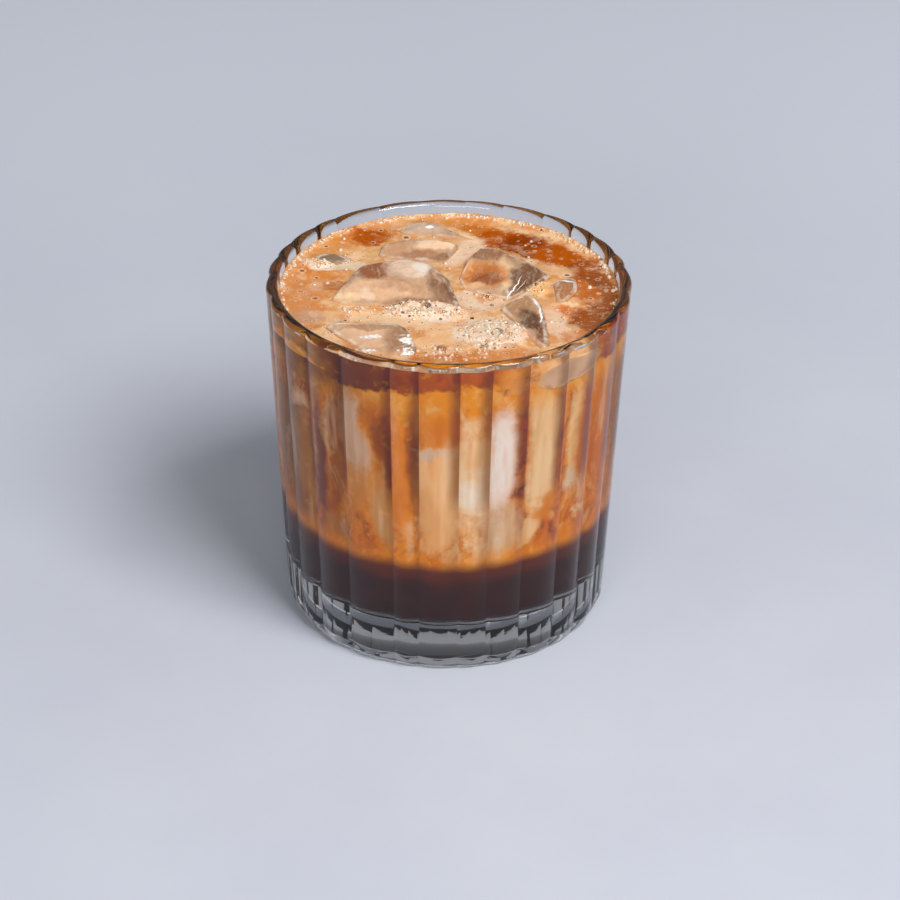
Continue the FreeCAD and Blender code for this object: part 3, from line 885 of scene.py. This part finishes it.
# Patches on the foam: x, y, half sizes, turn, softness, strength, colour.
FOAM_PATCHES = (
    (-34, 0, 6, 16, 0, 0.6, 0.9, (220, 142, 82)),
    (-30, 9, 7, 3, -10, 0.5, 0.8, (222, 136, 60)),
    (-25, 2.4, 3.6, 2.6, 20, 0.5, 0.8, (184, 104, 56)),
    (-30, 1.5, 2.6, 2.2, 0, 0.6, 0.5, (236, 188, 150)),
    (-28.5, 23, 7, 5, 25, 0.6, 0.85, (228, 150, 76)),
    (-18.5, 28.5, 7.4, 5, 30, 0.5, 0.9, (212, 122, 50)),
    (-18.6, 28, 4, 4.4, 30, 0.45, 1, CREMA),
    (-16, 21, 5, 3, 20, 0.6, 0.7, (238, 188, 130)),
    (-13, 34, 5, 2, 15, 0.6, 0.7, (228, 164, 104)),
    (3, 34.5, 8, 3, -8, 0.5, 0.9, (226, 144, 70)),
    (8, 31, 6, 3, -20, 0.5, 0.9, (206, 116, 38)),
    (12.5, 26.6, 6, 4.6, -20, 0.4, 1, CREMA),
    (18, 23.4, 7, 5.4, -28, 0.4, 1, CREMA_DARK),
    (25.5, 18, 7, 5.4, -38, 0.4, 1, CREMA),
    (31.5, 10, 4.6, 7, -10, 0.5, 0.95, (160, 74, 16)),
    (34.6, -1, 4, 12, 4, 0.5, 0.95, (146, 76, 34)),
    (30.6, 1, 3.6, 6.4, 10, 0.6, 0.9, (196, 108, 44)),
    (24, 10.6, 5, 2.4, -25, 0.6, 0.8, (236, 184, 134)),
    (20.6, 1.4, 2.4, 3.2, 0, 0.5, 0.95, (248, 186, 112)),
    (22.5, -5, 3, 3, 0, 0.6, 0.8, (230, 168, 112)),
    (28, -10.5, 4.4, 3.6, -20, 0.5, 0.9, (214, 112, 44)),
    (32, -14, 3.8, 6, 20, 0.5, 0.9, (146, 74, 34)),
    (24.5, -15, 3.4, 7, 10, 0.5, 0.9, (236, 200, 168)),
    (28.5, -21, 3.6, 3.4, 30, 0.5, 0.8, (206, 118, 62)),
    (7, -4, 5.4, 4.6, 0, 0.5, 0.9, (232, 200, 170)),
    (9, -2.5, 3, 2.2, 0, 0.6, 0.7, (206, 124, 56)),
    (3.2, 20, 3.4, 8, -32, 0.4, 0.9, (240, 206, 174)),
    (-22, -11.5, 9, 2.8, 0, 0.6, 0.7, (240, 188, 138)),
    (-32, -13, 3.6, 3.4, 0, 0.5, 0.8, (206, 158, 126)),
    (-12, -14, 9, 3, -8, 0.6, 0.8, (246, 206, 164)),
    (-5, -9.5, 9, 5, -12, 0.4, 0.95, FOAM_WHITE),
    (-30.6, 13, 4.6, 2.4, -14, 0.4, 1, FOAM_WHITE),
    (-22.5, 12.6, 4.6, 1.6, 0, 0.5, 0.7, (222, 206, 178)),
    (-1, -24, 5, 8, 0, 0.6, 0.8, (238, 186, 134)),
    (-2, -27.2, 1.6, 1.4, 0, 0.5, 0.9, (208, 118, 48)),
    (10, -20, 9, 7, 0, 0.4, 0.95, FOAM_WHITE),
    (3, -19.5, 2.2, 3, 0, 0.5, 0.8, (250, 224, 192)),
    (8, -31.5, 12, 3.4, 8, 0.6, 0.9, (214, 134, 70)),
    (-3, -33, 8, 3, 0, 0.6, 0.85, (202, 116, 52)),
)
# Froth: x, y, half sizes, how high it stands over the foam, how thick its bubbles lie.
FROTH = (
    (-5.5, -9.5, 9, 4.2, 0.9, 1),
    (0.8, -11, 3, 3, 0.5, 1),
    (10.5, -20.5, 8.5, 6.5, 0.7, 0.9),
    (-30.8, 13.2, 4, 2, 0.5, 1),
    (20.4, 1.2, 2.4, 3.2, 0.5, 0.8),
    (-20, -9.6, 4, 1.4, 0.2, 0.7),
    (2, -29, 10, 4, 0.2, 0.35),
    (7, -4, 5, 3.6, 0.1, 0.3),
)
# Larger bubbles: x, y, radius, and how strong the painted shade inside them is.
LARGE_BUBBLES = (
    (-5, -9.1, 1.1, 0.8),
    (-3.9, -5.2, 0.6, 0.7),
    (-9.3, -7.4, 0.5, 0.7),
    (-10.9, -8.4, 0.45, 0.7),
    (-12.3, -8, 0.4, 0.7),
    (-1.2, -11.4, 0.5, 0.5),
    (1.6, -10, 0.45, 0.6),
    (-7.6, -10.8, 0.4, 0.6),
    (11.1, -20.4, 1.3, 0.35),
    (15.3, -16.8, 0.9, 0.3),
    (13, -15.4, 0.6, 0.3),
    (8.2, -26.4, 0.9, 0.4),
    (13.8, -21.6, 0.6, 0.3),
    (8.4, -17.6, 0.5, 0.3),
    (5.3, -12.9, 0.5, 0.7),
    (8.9, -2, 1, 0.7),
    (9.8, -6.3, 0.5, 0.7),
    (20, 2.6, 0.5, 0.6),
    (21.4, 0.2, 0.45, 0.6),
    (34, 4.6, 0.5, 0.7),
    (-1.6, -27.6, 1.1, 0.5),
)
# Pits of burst bubbles, painted as shade in the hollow and a highlight on the rim: spacing in millimetres,
# radius as a share of it, how common they are.
PITS = ((1.0, 0.32, 0.8), (1.8, 0.3, 0.5), (3.4, 0.22, 0.26))
# Points of the foam's surface: rings from the middle to the wall, and points on each.
FOAM_RINGS = 150
FOAM_POINTS = 480


def outline_distance(x, y, corners):
    """How far points lie outside a closed outline, negative inside."""
    nearest = np.full(x.shape, 1e9)
    inside = np.zeros(x.shape, bool)
    for (ax, ay), (bx, by) in zip(corners, corners[1:] + corners[:1]):
        ex, ey = bx - ax, by - ay
        share = np.clip(((x - ax) * ex + (y - ay) * ey) / (ex * ex + ey * ey), 0, 1)
        nearest = np.minimum(nearest, np.hypot(x - ax - ex * share, y - ay - ey * share))
        crosses = (ay > y) != (by > y)
        inside ^= crosses & (x < ax + (y - ay) / (ey if ey else 1e-9) * ex)
    return np.where(inside, -nearest, nearest)


def smooth_step(value, low, high):
    share = np.clip((value - low) / (high - low), 0, 1)
    return share * share * (3 - 2 * share)


def hull_outline(points):
    """The convex outline of points in the plane, anticlockwise."""
    points = sorted(set(points))

    def half(run):
        chain = []
        for p in run:
            while len(chain) > 1 and ((chain[-1][0] - chain[-2][0]) * (p[1] - chain[-2][1])
                                      - (chain[-1][1] - chain[-2][1]) * (p[0] - chain[-2][0])) <= 0:
                chain.pop()
            chain.append(p)
        return chain[:-1]
    return half(points) + half(points[::-1])


def froth_share(x, y, reach=1.0):
    """For each patch of froth, how far points lie within it, from 1 in its middle to 0 at its edge."""
    for centre_x, centre_y, wide, tall, rise, thickness in FROTH:
        away = np.hypot((x - centre_x) / (wide * reach), (y - centre_y) / (tall * reach))
        yield smooth_step(1.15 - away, 0.0, 0.6), rise, thickness


def noise_field(x, y, size, shift):
    """Smooth noise at points of the plane."""
    return np.array([noise.noise(Vector((a / size, b / size, shift))) for a, b in zip(x, y)])


def foam_relief(x, y):
    """The height of the foam over its level: it climbs the wall and the ice, and dips under the ice."""
    radius = np.hypot(x, y)
    wall = bore_radius(FOAM_TOP)
    relief = 0.6 * np.exp(-(wall - radius) / 1.0)
    relief = relief + noise_field(x, y, 8.0, 0.0) * 0.3 + noise_field(x, y, 2.4, 9.0) * 0.09
    mounds = np.zeros(x.shape)
    for share, rise, _ in froth_share(x, y):
        mounds = np.maximum(mounds, share * rise)
    for corners in ICE.values():
        away = outline_distance(x, y, hull_outline([(cx, cy) for cx, cy, _ in corners]))
        relief = relief + 0.3 * np.exp(-np.maximum(away, 0) / 1.2) * (away > -1.5)
        relief = relief - ICE_DIP * smooth_step(-away, -0.1, 1.5) * (1 - smooth_step(mounds, 0.15, 0.6))
    return relief + mounds * (1.0 + noise_field(x, y, 1.7, 4.0) * 0.35)


def make_foam(material, side_material):
    """The foam: its surface in rings from the middle to the wall, its side and its flat underside."""
    turns = np.radians(round_angles(FOAM_POINTS))
    radii = np.linspace(0.3, bore_radius(FOAM_TOP) + INTO_WALL, FOAM_RINGS)
    x = np.concatenate([[0.0], np.outer(radii, np.cos(turns)).ravel()])
    y = np.concatenate([[0.0], np.outer(radii, np.sin(turns)).ravel()])
    z = FOAM_TOP + foam_relief(x, y)
    vertices = list(zip(x.tolist(), y.tolist(), z.tolist()))
    levels = (FOAM_TOP - 1.0, FOAM_TOP - 2.8, FOAM_BOTTOM)
    for height in levels:
        radius = bore_radius(height) + INTO_WALL
        vertices += [(radius * math.cos(t), radius * math.sin(t), height) for t in turns]
    rings = [[0] * FOAM_POINTS]
    for place in range(FOAM_RINGS + len(levels)):
        rings.append([1 + place * FOAM_POINTS + n for n in range(FOAM_POINTS)])
    rings.append([len(vertices)] * FOAM_POINTS)
    vertices.append((0.0, 0.0, FOAM_BOTTOM))
    thing = make_piece("foam_top", vertices, strips(rings), material, side_material)
    turn_outwards(thing)
    for face in thing.data.polygons:
        face.material_index = 1 if math.hypot(face.normal.x, face.normal.y) > 0.98 else 0
    return thing


def foam_colour(sheet):
    """The foam from above: cream and orange, stained with crema, with pits where bubbles have burst,
    painted with shade and highlights, and painted shade inside the larger bubbles.
    """
    scaled, _, z = wall_place(sheet)
    flat = sheet.vector("MULTIPLY", scaled, (1.0, 1.0, 0.0))
    pushed = sheet.push(flat, sheet.noise(scaled, 0.16, 4.0, 0.65), (7.0, 7.0, 0.0))
    cloud = sheet.noise(pushed, 0.2, 5.0, 0.62)
    grain = sheet.noise(scaled, 1.2, 4.0, 0.7)
    base = sheet.tint(FOAM_TAN, (240, 194, 146), cloud, 0.38, 0.62)
    for x, y, wide, tall, turn, soft, strength, shade in FOAM_PATCHES:
        mask = sheet.blob(pushed, (x, y), (wide, tall), turn, soft)
        base = sheet.tint(base, shade, mask + (grain - 0.5) * 0.55, 0.12, 0.88, strength)
    base = sheet.tint(base, (248, 212, 172), cloud, 0.5, 0.66, 0.35)
    base = sheet.tint(base, (190, 100, 40), cloud, 0.46, 0.3, 0.35)
    base = sheet.tint(base, (166, 84, 30), grain, 0.56, 0.74, 0.5)
    base = sheet.tint(base, (252, 222, 186), grain, 0.42, 0.26, 0.4)
    under = sheet.tint((196, 142, 102), (232, 192, 156), cloud, 0.35, 0.65)
    base = sheet.tint(base, under, z, FOAM_TOP - 0.7, FOAM_TOP - 1.8, 0.9)
    spread = most(sheet.blob(pushed, (x, y), (wide, tall), 0.0, 0.35) * thickness
                  for x, y, wide, tall, _, thickness in FROTH) + 0.12
    for size, pit, strength in PITS:
        cells = sheet.node("ShaderNodeTexVoronoi", None, scaled, Scale=1 / size)
        chance = sheet.node("ShaderNodeSeparateColor", None, cells.out("Color")).out("Red")
        chosen = sheet.ramp(chance - spread * strength, 0.02, -0.02)
        # Painted shade in the hollow of each chosen pit, and a painted highlight on its rim.
        pit_shade = sheet.ramp(cells, pit, pit * 0.55)
        rim_highlight = sheet.ramp(cells, pit * 1.75, pit * 1.1) * (1 - pit_shade)
        base = sheet.mix(rim_highlight * chosen * 0.35, base, (255, 236, 214))
        base = sheet.mix(pit_shade * chosen * 0.8, base, (112, 62, 32))
    for x, y, radius, dark in LARGE_BUBBLES:
        # Painted shade inside each larger bubble.
        inside = sheet.blob(flat, (x, y), (radius, radius), 0.0, 0.25)
        base = sheet.mix(inside * dark, base, (120, 74, 46))
    return base


def foam_side_colour(sheet):
    """The foam through the wall, down to where the milk coffee's gold takes over."""
    scaled, angle, z = wall_place(sheet)
    drift = sheet.noise(scaled, 0.06, 5.0, 0.6)
    fine = sheet.noise(scaled, 0.34, 4.0, 0.6)
    gilt = sheet.tint(GOLDEN, (252, 184, 96), fine, 0.42, 0.6)
    base = crema_over(sheet, gilt, drift, fine, angle, z)
    return beside_grooves(sheet, base, angle, z, 0.8)


def foam_material():
    material, sheet, shader = new_material("crema_foam_skin", Roughness=0.5, Specular_IOR_Level=0.0)
    froth = sheet.node("ShaderNodeTexVoronoi", None, sheet.place(), Scale=1500.0).out("Distance")
    sheet.set(shader, Base_Color=foam_colour(sheet), Normal=sheet.bump(froth, 0.25, 0.0002))
    return material


# ---------------------------------------------------------------- ice under the surface

# The block that leans against the wall under the foam: the middle and half of its angles and heights, how
# far it stands into the wall and into the drink, and how much it rises to the right.
SUNK_ICE_MIDDLE = (44.0, 75.3)
SUNK_ICE_HALF = (14.0, 3.9)
SUNK_ICE_PROUD = 0.5
SUNK_ICE_DEPTH = 3.0
SUNK_ICE_LEAN = 0.04


def make_sunk_ice(material):
    """A smooth block pressed against the wall, seen through it."""
    middle, half = SUNK_ICE_MIDDLE, SUNK_ICE_HALF
    steps, count = 14, 72
    vertices, faces, shares = [], [], []
    for reach in (SUNK_ICE_PROUD, -SUNK_ICE_DEPTH):
        base = len(vertices)
        for step in range(steps + 1):
            share = step / steps
            swell = math.sqrt(max(0.0, 1 - share ** 4)) if step < steps else 0.0
            for n in range(count if step else 1):
                around = 2 * math.pi * n / count
                lobe = 1 + 0.14 * math.cos(2 * around + 0.6) + 0.07 * math.cos(3 * around)
                turn = middle[0] + half[0] * share * lobe * math.cos(around)
                height = middle[1] + half[1] * share * lobe * math.sin(around)
                height += SUNK_ICE_LEAN * (turn - middle[0])
                x, y = direction(turn)
                radius = bore_radius(height) + reach * swell
                vertices.append((radius * x, radius * y, height))
                shares.append(share)
        rings = [[base + 1 + place * count + n for n in range(count)] for place in range(steps)]
        faces += strips([[base] * count, *rings])
    thing = make_piece("sunk_ice_right", vertices, faces, material)
    keep_on_points(thing, "share", shares)
    turn_outwards(thing, merge=0.001)
    return thing


def sunk_ice_colour(sheet):
    """Ice with the drink's cream behind it: grey-beige, paler at its foot."""
    scaled, angle, z = wall_place(sheet)
    cloud = sheet.noise(scaled, 0.16, 2.0, 0.5)
    base = sheet.tint((206, 158, 124), (230, 188, 156), cloud, 0.3, 0.7)
    foot = z - angle * SUNK_ICE_LEAN + (cloud - 0.5) * 2
    base = sheet.tint(base, (255, 226, 194), foot, 71.6, 70.2, 0.7)
    drift = sheet.noise(scaled, 0.06, 5.0, 0.6)
    fine = sheet.noise(scaled, 0.34, 4.0, 0.6)
    rind = sheet.attribute("share", "Fac") + (fine - 0.5) * 0.3
    base = sheet.tint(base, crema_band(sheet, angle, drift, fine), rind, 0.72, 0.98)
    return beside_grooves(sheet, base, angle, z, 0.6)


# ---------------------------------------------------------------- bubbles

# The most bubbles on a square millimetre, the seed that scatters them, and their radii.
BUBBLES_PER_AREA = 3.2
BUBBLE_SEED = 11
BUBBLE_RADII = (0.1, 0.62)
# The height of the larger bubbles as a share of their radius.
DOME_RISE = 0.7


def blow_bubbles(thing, material):
    """Geometry nodes set bubbles on a surface, thick where its froth attribute is high."""
    sheet, group, inputs = start_tree("blow_bubbles", "Most per Area", "Smallest", "Largest")
    froth = sheet.node("GeometryNodeInputNamedAttribute", {"data_type": "FLOAT"}, "froth")
    points = sheet.node("GeometryNodeDistributePointsOnFaces", {"distribute_method": "RANDOM"}, group,
                        Density=froth * group.out("Most per Area"), Seed=BUBBLE_SEED)
    luck = sheet.node("FunctionNodeRandomValue", {"data_type": "FLOAT"}, output=1, Seed=BUBBLE_SEED)
    smallest, largest = group.out("Smallest"), group.out("Largest")
    radius = smallest + (largest - smallest) * (luck * luck * luck)
    ball = sheet.node("GeometryNodeMeshUVSphere", None, Segments=8, Rings=6, Radius=1.0)
    ball = sheet.node("GeometryNodeSetShadeSmooth", None, ball)
    balls = sheet.node("GeometryNodeInstanceOnPoints", None, points, Instance=ball, Scale=radius)
    end_tree(sheet, balls, material)
    run_tree(thing, sheet, inputs, {"Most per Area": BUBBLES_PER_AREA / MM ** 2,
                                    "Smallest": BUBBLE_RADII[0] * MM, "Largest": BUBBLE_RADII[1] * MM})


def bubble_film():
    """The wet skin of a bubble."""
    material, sheet, shader = new_material("bubble_film", Roughness=0.08, IOR=1.3, Transmission_Weight=0.3,
                                           Coat_Weight=1.0, Coat_Roughness=0.02)
    scaled, _, _ = wall_place(sheet)
    cloud = sheet.noise(scaled, 0.7, 2.0)
    sheet.set(shader, Base_Color=sheet.tint((244, 192, 138), (255, 238, 214), cloud, 0.4, 0.6))
    return material


def clear_bubble():
    """A thin dome of liquid: all but invisible, apart from its gloss."""
    return new_material("clear_bubble", Base_Color=(1.0, 0.98, 0.95, 1.0), Roughness=0.0, IOR=1.06,
                        Transmission_Weight=1.0, Coat_Weight=1.0, Coat_Roughness=0.0)[0]


def make_large_bubbles(material):
    """Low domes on the foam."""
    shape = bmesh.new()
    x, y = np.array([spot[:2] for spot in LARGE_BUBBLES]).T
    for (cx, cy, radius, _), relief in zip(LARGE_BUBBLES, foam_relief(x, y)):
        size = Matrix.Diagonal((radius, radius, radius * DOME_RISE, 1.0))
        where = Matrix.Translation((cx, cy, FOAM_TOP + relief)) @ size
        bmesh.ops.create_icosphere(shape, subdivisions=3, radius=1.0, matrix=where)
    return piece_from("large_bubbles", shape, material)


def make_bubbles(foam, material):
    """Bubbles on the froth, and a line of small ones where the foam meets the wall."""
    skin = foam.data.copy()
    skin.name = "froth_bubbles"
    thing = bpy.data.objects.new("froth_bubbles", skin)
    bpy.context.scene.collection.objects.link(thing)
    x, y, z = point_values(skin, "co").T / MM
    froth = np.zeros(x.shape)
    for share, _, thickness in froth_share(x, y, 1.1):
        froth = np.maximum(froth, share * thickness)
    froth = froth * (0.35 + 0.65 * smooth_step(noise_field(x, y, 3.0, 2.0), -0.2, 0.3))
    from_wall = bore_radius(FOAM_TOP) - np.hypot(x, y)
    turn = np.degrees(np.arctan2(x, -y))
    behind = np.maximum(smooth_step(np.abs(turn), 95.0, 120.0), smooth_step(turn, -60.0, -80.0))
    patchy = smooth_step(noise_field(x, y, 5.0, 7.0), -0.35, 0.15)
    ring = smooth_step(from_wall, 1.5, 0.5) * (from_wall > 0.25) * (0.25 + 0.75 * behind * patchy)
    froth = np.maximum(np.maximum(froth, ring * 2.2), 0.014)
    froth *= z > FOAM_TOP - 0.4
    froth *= from_wall > 0.25
    keep_on_points(thing, "froth", froth)
    blow_bubbles(thing, material)
    return thing


# ---------------------------------------------------------------- the room

# How far the paper lies under the foot: a film of air, so that light still turns back at the bottom.
FLOOR_GAP = 0.1
FLOOR_HALF = 3000.0
# The lamps, all in metres: name, place, aim, size, power in watts.
LAMPS = (
    ("softbox_right", (0.594, -0.734, 1.206), (0, 0, 0.04), (0.7, 0.7), 19.5),
    ("softbox_front", (-0.2, -1.35, 0.42), (0, 0, 0.05), (0.9, 0.5), 8.5),
)
ROOM_LIGHT = (238, 240, 248)
ROOM_STRENGTH = 0.26
# The camera, in metres and degrees: what it looks at and from how far, its pitch and roll, and its lens.
CAMERA_AIM = (0.0, 0.0, 0.0375)
CAMERA_DISTANCE = 0.9366
CAMERA_PITCH = 29.97
CAMERA_ROLL = 0.62
CAMERA_LENS = 160.0
CAMERA_SENSOR = 36.0
CAMERA_SHIFT = 0.0031


def make_floor():
    """A wide sheet of pale paper, with painted light that makes it a touch brighter behind the glass."""
    material, sheet, shader = new_material("pale_paper", Roughness=0.9, Specular_IOR_Level=0.1)
    where = sheet.place()
    paper = sheet.tint((200, 204, 215), (206, 210, 220), sheet.noise(where, 9.0, 5.0, 0.6), 0.3, 0.7)
    # Painted light: the paper grows brighter further behind the glass.
    back = sheet.node("ShaderNodeSeparateXYZ", None, where).out("Y")
    sheet.set(shader, Base_Color=sheet.tint(paper, (219, 223, 234), back, 0.04, 0.34))
    signs = ((-1, -1), (1, -1), (1, 1), (-1, 1))
    corners = [(x * FLOOR_HALF, y * FLOOR_HALF, -FLOOR_GAP) for x, y in signs]
    make_piece("paper_floor", corners, [(0, 1, 2, 3)], material, smooth=False)


def light_room():
    """Soft rectangular lamps, and an even light from the room."""
    for name, place, aim, size, power in LAMPS:
        light = bpy.data.lights.new(name, "AREA")
        light.shape = "RECTANGLE"
        light.size, light.size_y = size
        light.energy = power
        lamp = bpy.data.objects.new(name, light)
        turn = (Vector(aim) - Vector(place)).to_track_quat("-Z", "Y").to_matrix().to_4x4()
        lamp.matrix_world = Matrix.Translation(place) @ turn
        bpy.context.scene.collection.objects.link(lamp)
    world = bpy.data.worlds.new("studio")
    world.use_nodes = True
    background = world.node_tree.nodes["Background"]
    Sheet(world.node_tree).set(background, Color=colour(*ROOM_LIGHT), Strength=ROOM_STRENGTH)
    bpy.context.scene.world = world


def add_camera():
    """The camera looks down at the glass from the front, a touch turned."""
    pitch, roll = math.radians(CAMERA_PITCH), math.radians(CAMERA_ROLL)
    ahead = Vector((0.0, math.cos(pitch), -math.sin(pitch)))
    right = Vector((1.0, 0.0, 0.0))
    up = right.cross(ahead)
    turned_right = right * math.cos(roll) + up * math.sin(roll)
    turned_up = up * math.cos(roll) - right * math.sin(roll)
    view = bpy.data.cameras.new("camera")
    view.lens = CAMERA_LENS
    view.sensor_width = CAMERA_SENSOR
    view.shift_x = CAMERA_SHIFT
    camera = bpy.data.objects.new("camera", view)
    axes = Matrix((turned_right, turned_up, -ahead)).transposed()
    camera.matrix_world = Matrix.Translation(Vector(CAMERA_AIM) - ahead * CAMERA_DISTANCE) @ axes.to_4x4()
    bpy.context.scene.collection.objects.link(camera)
    bpy.context.scene.camera = camera


# ---------------------------------------------------------------- everything in its place

def place(thing, slot, *nodes):
    """Let a finished piece stand for its nodes of the model."""
    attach(thing, BODY)
    if nodes:
        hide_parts(*nodes)


place(make_glass(clear_glass()), "tumbler_glass", "glass")
place(make_chocolate(liquid("dark_chocolate_drink", chocolate_colour)), "dark_chocolate", "chocolate_layer")
place(make_milk(liquid("marbled_milk_coffee", milk_colour)), "milk_coffee", "milk_coffee")
foam_side = liquid("crema_foam_side", foam_side_colour)
foam_top = make_foam(foam_material(), foam_side)
place(make_bubbles(foam_top, bubble_film()), "crema_foam")
place(make_large_bubbles(clear_bubble()), "crema_foam")
place(foam_top, "crema_foam", "crema_foam")
ice_material = melting_ice()
for ice_name, ice_corners in ICE.items():
    place(make_ice(ice_name, ice_corners, ice_material), "ice", ice_name)
place(make_sunk_ice(liquid("sunk_ice", sunk_ice_colour)), "ice")

make_floor()
light_room()
add_camera()
bpy.context.scene.view_settings.view_transform = "Standard"
